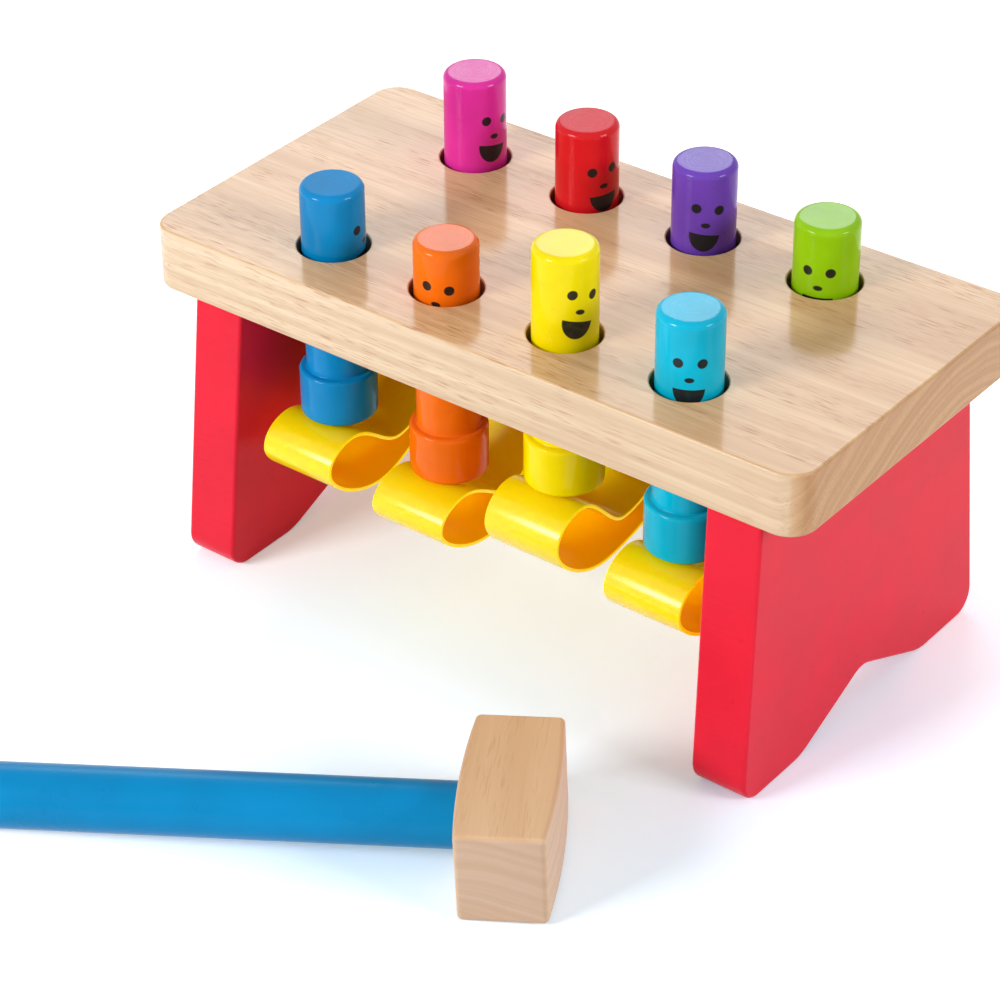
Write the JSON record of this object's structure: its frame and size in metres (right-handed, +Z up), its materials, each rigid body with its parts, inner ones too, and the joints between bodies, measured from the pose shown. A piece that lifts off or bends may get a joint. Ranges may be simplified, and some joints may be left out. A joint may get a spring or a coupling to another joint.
{
  "type": "peg pounding bench",
  "caption": "Wooden bench with painted legs, round smiling pegs in two rows, springy yellow bands that lift one peg as its partner goes down, and a mallet.",
  "frame": {"origin": "on the floor under the centre of the bounding box of bench and mallet", "axes": "+X along the bench to its right end, +Y to the back row, +Z up; the front row and the mallet lie at low Y"},
  "size_m": [0.267, 0.3132, 0.1635],
  "materials": {
    "top_wood": "satin clear lacquer over pale fine-grained hardwood",
    "leg_paint": "red gloss paint on wood",
    "plain_wood": "bare sanded hardwood",
    "band_plastic": "smooth yellow plastic strip",
    "mallet_wood": "bare sanded hardwood, planed flats",
    "handle_paint": "blue gloss paint on a turned wooden rod",
    "paint_blue": "gloss paint on turned wood, with a printed smiling face",
    "paint_orange": "gloss paint on turned wood, with a printed smiling face",
    "paint_yellow": "gloss paint on turned wood, with a printed smiling face",
    "paint_cyan": "gloss paint on turned wood, with a printed smiling face",
    "paint_pink": "gloss paint on turned wood, with a printed smiling face",
    "paint_red": "gloss paint on turned wood, with a printed smiling face",
    "paint_purple": "gloss paint on turned wood, with a printed smiling face",
    "paint_green": "gloss paint on turned wood, with a printed smiling face"
  },
  "bodies": {
    "bench": {"bench_top": "top_wood", "leg_left": "leg_paint", "leg_right": "leg_paint", "leg_dowels": "plain_wood", "rail": "plain_wood"},
    "band_1": {"band_1": "band_plastic"},
    "peg_blue": {"peg_blue": "paint_blue"},
    "peg_pink": {"peg_pink": "paint_pink"},
    "band_2": {"band_2": "band_plastic"},
    "peg_orange": {"peg_orange": "paint_orange"},
    "peg_red": {"peg_red": "paint_red"},
    "band_3": {"band_3": "band_plastic"},
    "peg_yellow": {"peg_yellow": "paint_yellow"},
    "peg_purple": {"peg_purple": "paint_purple"},
    "band_4": {"band_4": "band_plastic"},
    "peg_cyan": {"peg_cyan": "paint_cyan"},
    "peg_green": {"peg_green": "paint_green"},
    "mallet": {"mallet_head": "mallet_wood", "mallet_handle": "handle_paint"}
  },
  "joints": [
    {"name": "band_1_rock", "type": "hinge", "parent": "bench", "child": "band_1", "pos_m": [-0.0732, 0.08603, 0.058], "axis": [1, 0, 0], "range_deg": [-27.2, 15.8]},
    {"name": "peg_blue_slide", "type": "slide", "parent": "bench", "child": "peg_blue", "axis": [0, 0, 1], "range_m": [-0.014, 0.024]},
    {"name": "peg_pink_slide", "type": "slide", "parent": "bench", "child": "peg_pink", "axis": [0, 0, 1], "range_m": [-0.024, 0.014]},
    {"name": "band_2_rock", "type": "hinge", "parent": "bench", "child": "band_2", "pos_m": [-0.0244, 0.08603, 0.058], "axis": [1, 0, 0], "range_deg": [-22.5, 14.4]},
    {"name": "peg_orange_slide", "type": "slide", "parent": "bench", "child": "peg_orange", "axis": [0, 0, 1], "range_m": [-0.0129, 0.0201]},
    {"name": "peg_red_slide", "type": "slide", "parent": "bench", "child": "peg_red", "axis": [0, 0, 1], "range_m": [-0.0199, 0.0128]},
    {"name": "band_3_rock", "type": "hinge", "parent": "bench", "child": "band_3", "pos_m": [0.0244, 0.08603, 0.058], "axis": [1, 0, 0], "range_deg": [-15.9, 20.4]},
    {"name": "peg_yellow_slide", "type": "slide", "parent": "bench", "child": "peg_yellow", "axis": [0, 0, 1], "range_m": [-0.0181, 0.0141]},
    {"name": "peg_purple_slide", "type": "slide", "parent": "bench", "child": "peg_purple", "axis": [0, 0, 1], "range_m": [-0.014, 0.0179]},
    {"name": "band_4_rock", "type": "hinge", "parent": "bench", "child": "band_4", "pos_m": [0.0732, 0.08603, 0.058], "axis": [1, 0, 0], "range_deg": [-22.5, 25.3]},
    {"name": "peg_cyan_slide", "type": "slide", "parent": "bench", "child": "peg_cyan", "axis": [0, 0, 1], "range_m": [-0.022, 0.0195]},
    {"name": "peg_green_slide", "type": "slide", "parent": "bench", "child": "peg_green", "axis": [0, 0, 1], "range_m": [-0.0195, 0.022]},
    {"name": "mallet_lift", "type": "slide", "parent": "bench", "child": "mallet", "axis": [0, 0, 1], "range_m": [0, 0.15]}
  ],
  "couplings": [
    {"joint": "peg_blue_slide", "follows": "band_1_rock", "m_per_rad": -0.0505},
    {"joint": "peg_pink_slide", "follows": "band_1_rock", "m_per_rad": 0.0505},
    {"joint": "peg_orange_slide", "follows": "band_2_rock", "m_per_rad": -0.051},
    {"joint": "peg_red_slide", "follows": "band_2_rock", "m_per_rad": 0.0505},
    {"joint": "peg_yellow_slide", "follows": "band_3_rock", "m_per_rad": -0.0505},
    {"joint": "peg_purple_slide", "follows": "band_3_rock", "m_per_rad": 0.05},
    {"joint": "peg_cyan_slide", "follows": "band_4_rock", "m_per_rad": -0.0495},
    {"joint": "peg_green_slide", "follows": "band_4_rock", "m_per_rad": 0.0495}
  ]
}
